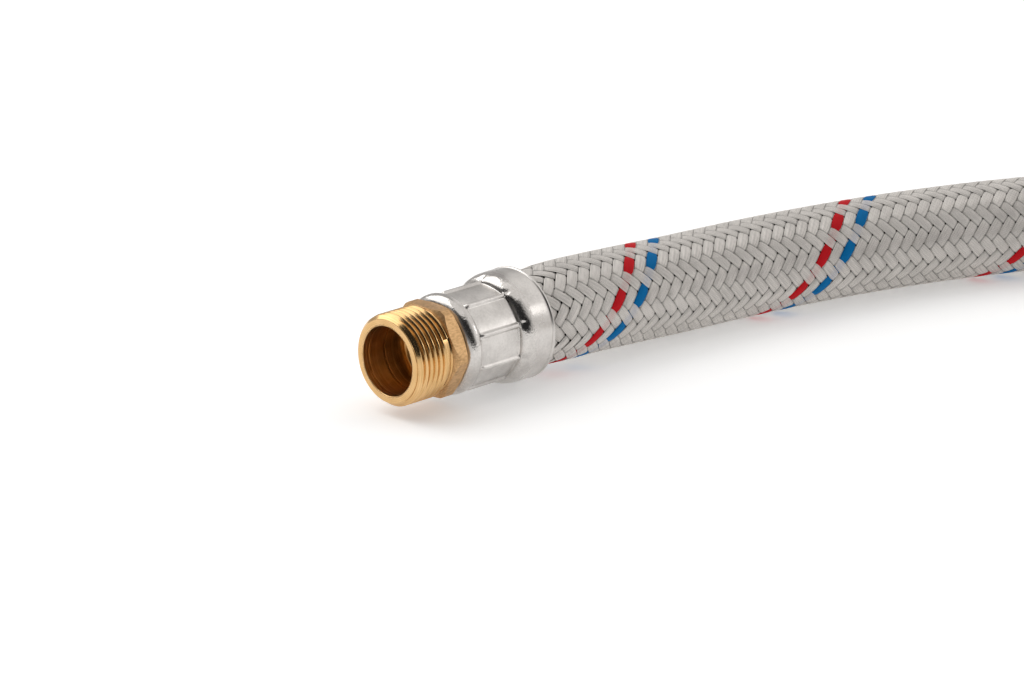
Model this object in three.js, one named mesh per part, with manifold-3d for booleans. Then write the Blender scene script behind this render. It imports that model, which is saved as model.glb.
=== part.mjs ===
// Braided flexible water hose, 500 mm long, lying on a surface. A rubber tube in a braid of steel wire is
// crimped at one end on a brass fitting with a male pipe thread, and at the other on a stem that carries
// a swivel nut. Millimetres, +Z up. The male fitting points along -X and the nut along -Y. The origin is
// on the surface, midway between the two ends.
import * as THREE from "three";
import { mergeVertices } from "three/addons/utils/BufferGeometryUtils.js";
import Module from "manifold-3d";

// Clearance between pieces that nest or touch
const GAP = 0.3;

// Hose
const HOSE_RADIUS = 14.5;
const BRAID_WALL = 0.9;
const RUBBER_WALL = 3.6;
const HOSE_SIDES = 12;
const HOSE_STEPS = 24;

// How far the crimp presses the hose in, and the braid's wall there
const CRIMP_SQUEEZE = 1.8;
const CRIMPED_BRAID_WALL = 0.7;

// Sleeve, from its front face to its mouth
const SLEEVE_WALL = 0.7;
const BEAD_LENGTH = 4.7;
const BEAD_RISE = 0.9;
const BEAD_DROP = 1.8;
const CRIMP_LENGTH = 14.8;
const RIDGE_COUNT = 9;
const RIDGE_HEIGHT = 0.6;
const FIRST_RIDGE_ANGLE = THREE.MathUtils.degToRad(29.5);
const SIDES_PER_PANEL = 6;
const SHOULDER_LENGTH = 4.8;
const SKIRT_LENGTH = 6.7;
const MOUTH_CLEARANCE = 1.0;
const LIP_HEIGHT = 0.15;
const LIP_LENGTH = 1.0;
const LIP_BEVEL = 0.5;
const ARC_POINTS = 4;

// Stem inside the hose, with barbs on its outside
const STEM_WALL = 1.67;
const BARB_COUNT = 4;
const BARB_HEIGHT = 0.5;
const BARB_RISE = 0.4;
const BARB_FALL = 1.5;
const STEM_PAST_CRIMP = 7;

// Male fitting: G 3/4 thread, 26.44 mm across its crests
const THREAD_RADIUS = 13.22;
const THREAD_LENGTH = 13.3;
const THREAD_CHAMFER = 1.2;
const MALE_BORE = 10.0;
const MALE_BORE_DEPTH = 15.8;
const BORE_CHAMFER = 0.6;
const MALE_HEX_FLATS = 25.6;
const MALE_HEX_CORNERS = 28.4;
const MALE_HEX_LENGTH = 4.9;

// Swivel nut for the same thread, its gasket, and the flange that it pulls on
const NUT_FLATS = 30;
const NUT_CORNERS = 32.4;
const NUT_SOCKET_RADIUS = 12.1;
const NUT_SOCKET_DEPTH = 9.6;
const NUT_LIP_LENGTH = 2.6;
const GASKET_THICKNESS = 2;
const GASKET_BORE = 8.2;
const FLANGE_THICKNESS = 2;
const FLANGE_OVERLAP = 0.8;

const HEX_SIDES = 6;
const HEX_CHAMFER_START = 0.3;
const HEX_CHAMFER_ANGLE = THREE.MathUtils.degToRad(30);

// Facets of round pieces, how far a cut runs past a face, and how close two points are when they are one
const TURNED_SIDES = 36;
const CUT_PAST = 1;
const WELD_DISTANCE = 1e-4;

// Where the crimped end of each hose layer becomes the free hose, from the sleeve's mouth inwards. It
// stands a little proud there, so that the two are joined along a clean edge.
const JOIN_INSIDE = 4;
const JOIN_OVERLAP = 1;
const JOIN_LIP = 0.05;

// Middle of the hose, from mouth to mouth: x and y from the male sleeve's mouth, and the share of the
// rise from where the hose lies on the surface to the fittings' own axis, which is held up by the wider
// sleeves.
const ROUTE = [
  [0, 0, 1],
  [20.1, -0.3, 0.85],
  [40.2, -1.3, 0.43],
  [60.2, -3.1, 0.06],
  [80.1, -5.7, 0],
  [99.9, -9.2, 0],
  [119.5, -13.7, 0],
  [138.8, -19.2, 0],
  [157.8, -25.9, 0],
  [176.3, -33.8, 0],
  [194.1, -43.1, 0],
  [210.7, -54.3, 0],
  [225.9, -67.5, 0],
  [239.2, -82.5, 0],
  [250.5, -99.1, 0],
  [259.7, -117.0, 0],
  [266.5, -135.9, 0],
  [271.0, -155.5, 0.06],
  [273.0, -175.5, 0.43],
  [273.4, -195.6, 0.85],
  [273.4, -215.7, 1],
];

// Sizes that follow from the ones above
const BRAID_BORE = HOSE_RADIUS - BRAID_WALL;
const RUBBER_RADIUS = BRAID_BORE - GAP;
const RUBBER_BORE = RUBBER_RADIUS - RUBBER_WALL;
const CRIMPED_RADIUS = HOSE_RADIUS - CRIMP_SQUEEZE;
const CRIMPED_BRAID_BORE = CRIMPED_RADIUS - CRIMPED_BRAID_WALL;
const CRIMPED_RUBBER_RADIUS = CRIMPED_BRAID_BORE - GAP;
const CRIMPED_RUBBER_BORE = RUBBER_BORE - 2 * JOIN_LIP;
const STEM_RADIUS = RUBBER_BORE * Math.cos(Math.PI / HOSE_SIDES) - GAP;
const STEM_BORE = STEM_RADIUS - STEM_WALL;
const FLANGE_RADIUS = NUT_SOCKET_RADIUS * Math.cos(Math.PI / TURNED_SIDES) - GAP;
const NECK_RADIUS = FLANGE_RADIUS - FLANGE_OVERLAP - GAP;
const PANEL_BORE = CRIMPED_RADIUS + GAP;
const PANEL_RADIUS = PANEL_BORE + SLEEVE_WALL;
const BEAD_RADIUS = PANEL_RADIUS + BEAD_RISE;
const MOUTH_BORE = HOSE_RADIUS + MOUTH_CLEARANCE;
const SKIRT_RADIUS = MOUTH_BORE + SLEEVE_WALL;
const CRIMP_END = BEAD_LENGTH + CRIMP_LENGTH;
const FLARE_AT = CRIMP_END + SLEEVE_WALL;
const SHOULDER_END = CRIMP_END + SHOULDER_LENGTH;
const SLEEVE_LENGTH = SHOULDER_END + SKIRT_LENGTH;
const JOIN_AT = SLEEVE_LENGTH - JOIN_INSIDE;
const STEM_END = CRIMP_END + STEM_PAST_CRIMP;
const AXIS_HEIGHT = SKIRT_RADIUS + LIP_HEIGHT;
const MALE_SLEEVE_AT = THREAD_LENGTH + MALE_HEX_LENGTH + GAP;
const FLANGE_AT = NUT_SOCKET_DEPTH + GASKET_THICKNESS + 2 * GAP;
const NUT_LENGTH = FLANGE_AT + FLANGE_THICKNESS + GAP + NUT_LIP_LENGTH;
const NUT_SLEEVE_AT = NUT_LENGTH + GAP;

const wasm = await Module();
wasm.setup();

const finish = {
  brass: { color: 0xd9a45c, metalness: 1, roughness: 0.3 },
  steel: { color: 0xc9c7c4, metalness: 1, roughness: 0.25 },
  wire: { color: 0xbdbab5, metalness: 0.8, roughness: 0.45 },
  rubber: { color: 0x1c1c1d, metalness: 0, roughness: 0.8 },
  fibre: { color: 0x2f4a3a, metalness: 0, roughness: 0.9 },
};

function piece(name, geometry, look) {
  const mesh = new THREE.Mesh(geometry, new THREE.MeshStandardMaterial(finish[look]));
  mesh.name = name;
  return mesh;
}

function solidOf(geometry) {
  const bare = geometry.index ? geometry.toNonIndexed() : geometry.clone();
  bare.deleteAttribute("normal");
  bare.deleteAttribute("uv");
  const welded = mergeVertices(bare, WELD_DISTANCE);
  return new wasm.Manifold(
    new wasm.Mesh({
      numProp: 3,
      vertProperties: welded.attributes.position.array,
      triVerts: new Uint32Array(welded.index.array),
    }),
  );
}

function geometryOf(solid) {
  const { vertProperties, triVerts } = solid.getMesh();
  const geometry = new THREE.BufferGeometry();
  geometry.setAttribute("position", new THREE.BufferAttribute(vertProperties, 3));
  geometry.setIndex(new THREE.BufferAttribute(triVerts, 1));
  geometry.computeVertexNormals();
  return geometry;
}

// A turned form about the X axis. The profile is a closed list of [station, radius], rising along its
// outside.
function turned(profile, sides = TURNED_SIDES, startAngle = 0) {
  const points = profile.map(([station, radius]) => new THREE.Vector2(radius, station));
  points.push(points[0].clone());
  return new THREE.LatheGeometry(points, sides, startAngle).rotateZ(-Math.PI / 2);
}

// Profile points of a quarter ellipse about [station, radius]. It rises from its low end to its top, or
// falls from its top to its low end, as the stations go up.
function quarter([station, radius], halfLength, height, rises) {
  const points = [];
  for (let i = 0; i <= ARC_POINTS; i += 1) {
    const angle = ((Math.PI / 2) * (rises ? i : ARC_POINTS - i)) / ARC_POINTS;
    const along = rises ? -Math.cos(angle) : Math.cos(angle);
    points.push([station + halfLength * along, radius + height * Math.sin(angle)]);
  }
  return points;
}

// Hexagon bar from station 0, flats up and down, with its corners turned round and both ends chamfered
function hexagon(flats, corners, length) {
  const halfSide = Math.PI / HEX_SIDES;
  const sharpCorner = flats / 2 / Math.cos(halfSide);
  const bar = new THREE.CylinderGeometry(sharpCorner, sharpCorner, length, HEX_SIDES, 1, false, halfSide);
  bar.rotateZ(-Math.PI / 2).translate(length / 2, 0, 0);
  const start = flats / 2 - HEX_CHAMFER_START;
  const chamfer = (corners / 2 - start) * Math.tan(HEX_CHAMFER_ANGLE);
  const blank = turned([
    [0, 0],
    [0, start],
    [chamfer, corners / 2],
    [length - chamfer, corners / 2],
    [length, start],
    [length, 0],
  ]);
  return solidOf(bar).intersect(solidOf(blank));
}

// Outside of the barbed stem, from the neck that the sleeve's front holds to the stem's end inside the
// hose. Each barb rises sharply on the fitting's side, so that the hose slides on and not off.
function stemOutside(sleeveAt) {
  const root = STEM_RADIUS - BARB_HEIGHT;
  const pitch = CRIMP_LENGTH / BARB_COUNT;
  const outside = [
    [sleeveAt + SLEEVE_WALL, NECK_RADIUS],
    [sleeveAt + SLEEVE_WALL, STEM_RADIUS],
    [sleeveAt + BEAD_LENGTH, STEM_RADIUS],
  ];
  for (let barb = 0; barb < BARB_COUNT; barb += 1) {
    const at = sleeveAt + BEAD_LENGTH + barb * pitch;
    outside.push([at + BARB_FALL, root], [at + pitch - BARB_RISE, root], [at + pitch, STEM_RADIUS]);
  }
  outside.push([sleeveAt + STEM_END, root]);
  return outside;
}

function maleFitting() {
  const body = turned([
    [0, MALE_BORE],
    [0, THREAD_RADIUS - THREAD_CHAMFER],
    [THREAD_CHAMFER, THREAD_RADIUS],
    [THREAD_LENGTH, THREAD_RADIUS],
    [THREAD_LENGTH, NECK_RADIUS],
    ...stemOutside(MALE_SLEEVE_AT),
    [MALE_SLEEVE_AT + STEM_END, STEM_BORE],
    [MALE_BORE_DEPTH + BORE_CHAMFER, STEM_BORE],
    [MALE_BORE_DEPTH, STEM_BORE + BORE_CHAMFER],
    [MALE_BORE_DEPTH, MALE_BORE],
  ]);
  const midWall = (STEM_BORE + NECK_RADIUS) / 2;
  const drill = turned([
    [-CUT_PAST, 0],
    [-CUT_PAST, midWall],
    [MALE_HEX_LENGTH + CUT_PAST, midWall],
    [MALE_HEX_LENGTH + CUT_PAST, 0],
  ]);
  const collar = hexagon(MALE_HEX_FLATS, MALE_HEX_CORNERS, MALE_HEX_LENGTH).subtract(solidOf(drill));
  return geometryOf(solidOf(body).add(collar.translate([THREAD_LENGTH, 0, 0])));
}

// A drawn cup with a hole in its front: a bead, the crimped panels, the shoulder and the skirt with its lip
function sleeve() {
  const top = BEAD_LENGTH / 2;
  const shoulder = SHOULDER_END - CRIMP_END;
  const profile = [
    [0, NECK_RADIUS + GAP],
    ...quarter([top, BEAD_RADIUS - BEAD_DROP], top, BEAD_DROP, true),
    ...quarter([top, PANEL_RADIUS], top, BEAD_RISE, false).slice(1),
    ...quarter([SHOULDER_END, PANEL_RADIUS], shoulder, SKIRT_RADIUS - PANEL_RADIUS, true),
    [SLEEVE_LENGTH - LIP_LENGTH, SKIRT_RADIUS],
    [SLEEVE_LENGTH - LIP_LENGTH + LIP_BEVEL, AXIS_HEIGHT],
    [SLEEVE_LENGTH, AXIS_HEIGHT],
    [SLEEVE_LENGTH, MOUTH_BORE],
    ...quarter([SHOULDER_END, PANEL_BORE], SHOULDER_END - FLARE_AT, MOUTH_BORE - PANEL_BORE, true).reverse(),
    [SLEEVE_WALL, PANEL_BORE],
    [SLEEVE_WALL, NECK_RADIUS + GAP],
  ];
  const geometry = turned(profile, RIDGE_COUNT * SIDES_PER_PANEL, FIRST_RIDGE_ANGLE);
  raiseRidges(geometry);
  return geometry;
}

// Between the pressed panels the steel stands up as narrow ridges: every point along the crimp that lies
// at a ridge's angle moves out. The profile's inside has no point along the crimp, so it stays round.
function raiseRidges(geometry) {
  const position = geometry.attributes.position;
  const panel = (2 * Math.PI) / RIDGE_COUNT;
  for (let i = 0; i < position.count; i += 1) {
    const [x, y, z] = [position.getX(i), position.getY(i), position.getZ(i)];
    const turns = (Math.atan2(-y, z) - FIRST_RIDGE_ANGLE) / panel;
    const onRidge = Math.abs(turns - Math.round(turns)) * SIDES_PER_PANEL < 0.5;
    const inCrimp = x > BEAD_LENGTH - WELD_DISTANCE && x < CRIMP_END + WELD_DISTANCE;
    if (onRidge && inCrimp) {
      const grow = 1 + RIDGE_HEIGHT / Math.hypot(y, z);
      position.setXYZ(i, x, y * grow, z * grow);
    }
  }
  geometry.computeVertexNormals();
}

function nutStem() {
  return turned([
    [FLANGE_AT, STEM_BORE],
    [FLANGE_AT, FLANGE_RADIUS],
    [FLANGE_AT + FLANGE_THICKNESS, FLANGE_RADIUS],
    [FLANGE_AT + FLANGE_THICKNESS, NECK_RADIUS],
    ...stemOutside(NUT_SLEEVE_AT),
    [NUT_SLEEVE_AT + STEM_END, STEM_BORE],
  ]);
}

function swivelNut() {
  const lipAt = NUT_LENGTH - NUT_LIP_LENGTH;
  const inside = turned([
    [-CUT_PAST, 0],
    [-CUT_PAST, NUT_SOCKET_RADIUS],
    [lipAt, NUT_SOCKET_RADIUS],
    [lipAt, NECK_RADIUS + GAP],
    [NUT_LENGTH + CUT_PAST, NECK_RADIUS + GAP],
    [NUT_LENGTH + CUT_PAST, 0],
  ]);
  return geometryOf(hexagon(NUT_FLATS, NUT_CORNERS, NUT_LENGTH).subtract(solidOf(inside)));
}

function gasket() {
  const front = NUT_SOCKET_DEPTH + GAP;
  return turned([
    [front, GASKET_BORE],
    [front, FLANGE_RADIUS],
    [front + GASKET_THICKNESS, FLANGE_RADIUS],
    [front + GASKET_THICKNESS, GASKET_BORE],
  ]);
}

// Rigid ends

const maleEnd = new THREE.Group();
maleEnd.position.set(-SLEEVE_LENGTH - MALE_SLEEVE_AT, 0, AXIS_HEIGHT);
const maleSleeve = piece("male_end_sleeve", sleeve(), "steel");
maleSleeve.position.x = MALE_SLEEVE_AT;
maleEnd.add(piece("male_fitting", maleFitting(), "brass"), maleSleeve);

const [nutMouthX, nutMouthY] = ROUTE[ROUTE.length - 1];
const nutEnd = new THREE.Group();
nutEnd.position.set(nutMouthX, nutMouthY - SLEEVE_LENGTH - NUT_SLEEVE_AT, AXIS_HEIGHT);
nutEnd.rotation.z = Math.PI / 2;
const nutSleeve = piece("nut_end_sleeve", sleeve(), "steel");
nutSleeve.position.x = NUT_SLEEVE_AT;
nutEnd.add(
  piece("nut_end_stem", nutStem(), "brass"),
  piece("swivel_nut", swivelNut(), "brass"),
  piece("nut_gasket", gasket(), "fibre"),
  nutSleeve,
);

// Hose

function lieOf([x, y, rise]) {
  return new THREE.Vector3(x, y, HOSE_RADIUS + rise * (AXIS_HEIGHT - HOSE_RADIUS));
}

function middleCurve() {
  const first = new THREE.Vector3(-JOIN_INSIDE, 0, AXIS_HEIGHT);
  const last = new THREE.Vector3(nutMouthX, nutMouthY - JOIN_INSIDE, AXIS_HEIGHT);
  return new THREE.CatmullRomCurve3([first, ...ROUTE.map(lieOf), last]);
}

function polygon(radius) {
  const points = [];
  for (let side = 0; side < HOSE_SIDES; side += 1) {
    const angle = (2 * Math.PI * side) / HOSE_SIDES;
    points.push(new THREE.Vector2(radius * Math.cos(angle), radius * Math.sin(angle)));
  }
  return points;
}

// One layer of the hose: a ring section along the middle curve, joined to the straight ends that the
// crimps press in
function hoseLayer(radius, bore, crimpedRadius, crimpedBore) {
  const section = new THREE.Shape(polygon(radius));
  section.holes.push(new THREE.Path(polygon(bore)));
  const free = new THREE.ExtrudeGeometry(section, { steps: HOSE_STEPS, extrudePath: middleCurve() });
  const end = [
    [SLEEVE_WALL + GAP, crimpedBore],
    [SLEEVE_WALL + GAP, crimpedRadius],
    [FLARE_AT, crimpedRadius],
    [JOIN_AT, radius + JOIN_LIP],
    [JOIN_AT + JOIN_OVERLAP, radius + JOIN_LIP],
    [JOIN_AT + JOIN_OVERLAP, bore - JOIN_LIP],
    [JOIN_AT, bore - JOIN_LIP],
    [FLARE_AT, crimpedBore],
  ];
  const ends = [maleSleeve, nutSleeve].map((mesh) => {
    mesh.updateWorldMatrix(true, false);
    return solidOf(turned(end, HOSE_SIDES).applyMatrix4(mesh.matrixWorld));
  });
  return geometryOf(solidOf(free).add(ends[0]).add(ends[1]));
}

const rubberTube = piece(
  "rubber_tube",
  hoseLayer(RUBBER_RADIUS, RUBBER_BORE, CRIMPED_RUBBER_RADIUS, CRIMPED_RUBBER_BORE),
  "rubber",
);
const wireBraid = piece(
  "wire_braid",
  hoseLayer(HOSE_RADIUS, BRAID_BORE, CRIMPED_RADIUS, CRIMPED_BRAID_BORE),
  "wire",
);

const hose = new THREE.Group();
hose.add(maleEnd, nutEnd);
const footprint = new THREE.Box3().setFromObject(hose, true);
hose.add(rubberTube, wireBraid);
hose.position.set(-(footprint.min.x + footprint.max.x) / 2, -(footprint.min.y + footprint.max.y) / 2, 0);

export default hose;
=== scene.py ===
"""Braided flexible water hose on a plain pale floor in studio light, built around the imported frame."""
from math import atan2, cos, exp, hypot, pi, radians, sin, sqrt, tan

import bmesh
import bpy
import numpy as np
from mathutils import Matrix, Vector


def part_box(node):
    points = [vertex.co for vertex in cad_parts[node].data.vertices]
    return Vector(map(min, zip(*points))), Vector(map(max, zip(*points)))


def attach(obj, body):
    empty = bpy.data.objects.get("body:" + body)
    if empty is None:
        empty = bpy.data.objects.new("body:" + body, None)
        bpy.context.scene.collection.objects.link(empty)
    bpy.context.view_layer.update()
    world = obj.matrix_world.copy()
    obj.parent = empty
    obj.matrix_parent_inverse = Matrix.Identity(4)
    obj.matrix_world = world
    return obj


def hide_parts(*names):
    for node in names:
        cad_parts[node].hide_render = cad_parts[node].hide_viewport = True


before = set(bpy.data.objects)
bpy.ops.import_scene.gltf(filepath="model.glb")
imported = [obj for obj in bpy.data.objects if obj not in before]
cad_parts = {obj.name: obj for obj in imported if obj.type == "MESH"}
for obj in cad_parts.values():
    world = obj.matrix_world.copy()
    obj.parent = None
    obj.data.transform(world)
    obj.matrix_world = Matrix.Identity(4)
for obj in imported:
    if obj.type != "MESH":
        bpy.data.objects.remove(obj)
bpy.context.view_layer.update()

# Camera
# A long lens looks down a little on the open end of the male fitting, a bit left of the picture's middle,
# and the hose runs away from it and out of the picture at the right.
male_low, male_high = [Vector(corner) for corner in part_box("male_fitting")]
AXIS_HEIGHT = (male_low.z + male_high.z) / 2
male_face = Vector((male_low.x, (male_low.y + male_high.y) / 2, AXIS_HEIGHT))

PICTURE = (1024, 683)
MALE_FACE_PIXEL = (387.2, 361.4)
SENSOR = 36.0
LENS = 145.98
CAMERA_DISTANCE = 1.1445
CAMERA_HEADING = radians(45.80)
CAMERA_ELEVATION = radians(18.67)

camera_data = bpy.data.cameras.new("camera")
camera_data.sensor_width = SENSOR
camera_data.lens = LENS
camera = bpy.data.objects.new("camera", camera_data)
bpy.context.scene.collection.objects.link(camera)
bpy.context.scene.camera = camera

level = Vector((cos(CAMERA_HEADING), sin(CAMERA_HEADING), 0.0))
forward = level * cos(CAMERA_ELEVATION) - Vector((0.0, 0.0, sin(CAMERA_ELEVATION)))
rightward = Vector((sin(CAMERA_HEADING), -cos(CAMERA_HEADING), 0.0))
upward = rightward.cross(forward)
pixel = SENSOR / LENS / PICTURE[0] * CAMERA_DISTANCE
camera.location = (
    male_face
    - forward * CAMERA_DISTANCE
    - rightward * (MALE_FACE_PIXEL[0] - PICTURE[0] / 2) * pixel
    + upward * (MALE_FACE_PIXEL[1] - PICTURE[1] / 2) * pixel
)
camera.rotation_euler = Matrix((rightward, upward, -forward)).transposed().to_euler()

# Lie of the hose
# The hose lies in one gentle curve from the mouth of one sleeve to the mouth of the other, where the wider
# sleeves hold it a little off the floor. Each stop of its route is the way gone along X and along Y, and the
# share of that rise.
ROUTE = [
    (0.0, 0.0, 1.0),
    (0.0201, -0.0003, 0.85),
    (0.0402, -0.0013, 0.43),
    (0.0602, -0.0031, 0.06),
    (0.0801, -0.0057, 0.0),
    (0.0999, -0.0092, 0.0),
    (0.1195, -0.0137, 0.0),
    (0.1388, -0.0192, 0.0),
    (0.1578, -0.0259, 0.0),
    (0.1763, -0.0338, 0.0),
    (0.1941, -0.0431, 0.0),
    (0.2107, -0.0543, 0.0),
    (0.2259, -0.0675, 0.0),
    (0.2392, -0.0825, 0.0),
    (0.2505, -0.0991, 0.0),
    (0.2597, -0.1170, 0.0),
    (0.2665, -0.1359, 0.0),
    (0.2710, -0.1555, 0.06),
    (0.2730, -0.1755, 0.43),
    (0.2734, -0.1956, 0.85),
    (0.2734, -0.2157, 1.0),
]
HOSE_RADIUS = 0.0145
SLEEVE_LENGTH = 0.031
STRAIGHT_END = 0.012
POINTS_PER_STOP = 20
SQUEEZE = 0.0019
SQUEEZE_END = 0.016
SQUEEZE_RUN = 0.026
sleeve_low, sleeve_high = [Vector(corner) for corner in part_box("male_end_sleeve")]
nut_sleeve_low, nut_sleeve_high = [Vector(corner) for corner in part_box("nut_end_sleeve")]
male_mouth = Vector((sleeve_high.x, male_face.y, AXIS_HEIGHT))
nut_mouth = Vector(((nut_sleeve_low.x + nut_sleeve_high.x) / 2, nut_sleeve_high.y, AXIS_HEIGHT))


def middle_line():
    """The hose's middle, a point about each millimetre, with a straight stretch inside each sleeve."""
    rise = AXIS_HEIGHT - HOSE_RADIUS
    stops = [(male_mouth.x + x, male_mouth.y + y, HOSE_RADIUS + share * rise) for x, y, share in ROUTE]
    before = np.array(stops[0]) - (STRAIGHT_END, 0, 0)
    after = np.array(stops[-1]) - (0, STRAIGHT_END, 0)
    stops = np.array([2 * before - stops[0], before, *stops, after, 2 * after - stops[-1]])
    points = []
    for a, b, c, d in zip(stops, stops[1:], stops[2:], stops[3:]):
        for t in np.linspace(0, 1, POINTS_PER_STOP, endpoint=False):
            bend = (2 * a - 5 * b + 4 * c - d) * t**2 + (3 * b - 3 * c + d - a) * t**3
            points.append((2 * b + (c - a) * t + bend) / 2)
    return np.array(points + [stops[-2]])


line = middle_line()
line_step = np.linalg.norm(np.diff(line, axis=0), axis=1)
line_station = np.concatenate([[0.0], np.cumsum(line_step)]) - STRAIGHT_END
line_ahead = np.gradient(line, axis=0)
HOSE_LENGTH = line_station[-1] - STRAIGHT_END


def on_hose(station, angle, radius):
    """Points at a length along the hose from the male mouth, an angle from its left side up, and a radius."""
    middle = np.stack([np.interp(station, line_station, line[:, k]) for k in range(3)], axis=-1)
    ahead = np.stack([np.interp(station, line_station, line_ahead[:, k]) for k in range(3)], axis=-1)
    ahead /= np.linalg.norm(ahead, axis=-1, keepdims=True)
    left = np.cross((0.0, 0.0, 1.0), ahead)
    left /= np.linalg.norm(left, axis=-1, keepdims=True)
    top = np.cross(ahead, left)
    outward = np.cos(angle)[..., None] * left + np.sin(angle)[..., None] * top
    return middle + radius[..., None] * outward


def squeeze(station):
    """How much narrower the hose is near its ends, where the crimps hold it."""
    inside = np.minimum(station, HOSE_LENGTH - station)
    share = np.clip((SQUEEZE_END - inside) / SQUEEZE_RUN, 0.0, 1.0)
    return SQUEEZE * share * share * (3 - 2 * share)


# Braid
# Thirty-six flat strands, each of nine fine stainless wires side by side, wound in two directions and
# plaited two over and two under. A red and a blue yarn strand mark it. It slides over the rubber tube,
# and the two crimps hold its ends.
STRANDS_EACH_WAY = 18
STRAND_LEAD = 0.080
STRAND_WIDTH = 0.00318
STRAND_PINCH = 0.19
PINCH_REACH = 0.36
STRAND_THICKNESS = 0.00038
EDGE_FULLNESS = 0.6
FACE_FULLNESS = 0.3
EDGE_ANGLE = radians(32.0)
STRAND_WIRES = 9
YARN_THREADS = 13.5
STRAND_SIDES = 8
STEPS_PER_CROSSING = 4
STRETCH = 24
BAR_WELD = 1e-4
BRAID_MIDDLE = 0.01408
BRAID_WAVE = 0.00021
WAVE_STEEPNESS = 2.6
WAVE_START = 1.5
BRAID_INSIDE_SLEEVE = 0.010
BRAID_LENGTH = HOSE_LENGTH + 2 * BRAID_INSIDE_SLEEVE
FIRST_STRAND_ANGLE = radians(288.5)
RED_STRAND = 0
BLUE_STRAND = 2
COLUMN_ANGLE = pi / STRANDS_EACH_WAY
WIND = 2 * pi / STRAND_LEAD
CROSSING = STRAND_LEAD / (2 * STRANDS_EACH_WAY)
TINT_REACH = 0.8 * COLUMN_ANGLE
TINT_FULL = 1.35
TINT_SHARE = 0.16
RED_TINT = (0.62, 0.02, 0.03)
BLUE_TINT = (0.02, 0.16, 0.50)
WIRE_DARK = (0.34, 0.32, 0.30, 1)
WIRE_BRIGHT = (0.88, 0.84, 0.795, 1)
# The colour of painted shade at the strands' edges and where they dip under each other.
WIRE_PAINTED_SHADE = (0.22, 0.21, 0.195, 1)
RED_YARN = ((0.72, 0.012, 0.02, 1), (0.40, 0.005, 0.010, 1))
BLUE_YARN = ((0.0, 0.20, 0.52, 1), (0.0, 0.10, 0.28, 1))


def mesh_object(name, bm):
    """Puts a finished bmesh into the scene as an object at the origin."""
    mesh = bpy.data.meshes.new(name)
    bm.to_mesh(mesh)
    bm.free()
    piece = bpy.data.objects.new(name, mesh)
    bpy.context.scene.collection.objects.link(piece)
    return piece


def straight_bar(sides, steps):
    """An open tube along Z with a ring of points at each whole height, to be laid along the hose."""
    bm = bmesh.new()
    bmesh.ops.create_circle(bm, segments=sides, radius=1.0)
    way = {"cent": (0, 0, 0), "axis": (0, 0, 1), "angle": 0.0}
    bmesh.ops.spin(bm, geom=bm.verts[:] + bm.edges[:], dvec=(0, 0, 1), steps=STRETCH, **way)
    stretch = bm.verts[:] + bm.edges[:] + bm.faces[:]
    more = steps // STRETCH - 1
    bmesh.ops.spin(bm, geom=stretch, dvec=(0, 0, STRETCH), steps=more, use_duplicate=True, **way)
    bmesh.ops.remove_doubles(bm, verts=bm.verts[:], dist=BAR_WELD)
    bmesh.ops.recalc_face_normals(bm, faces=bm.faces[:])
    return bm


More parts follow.
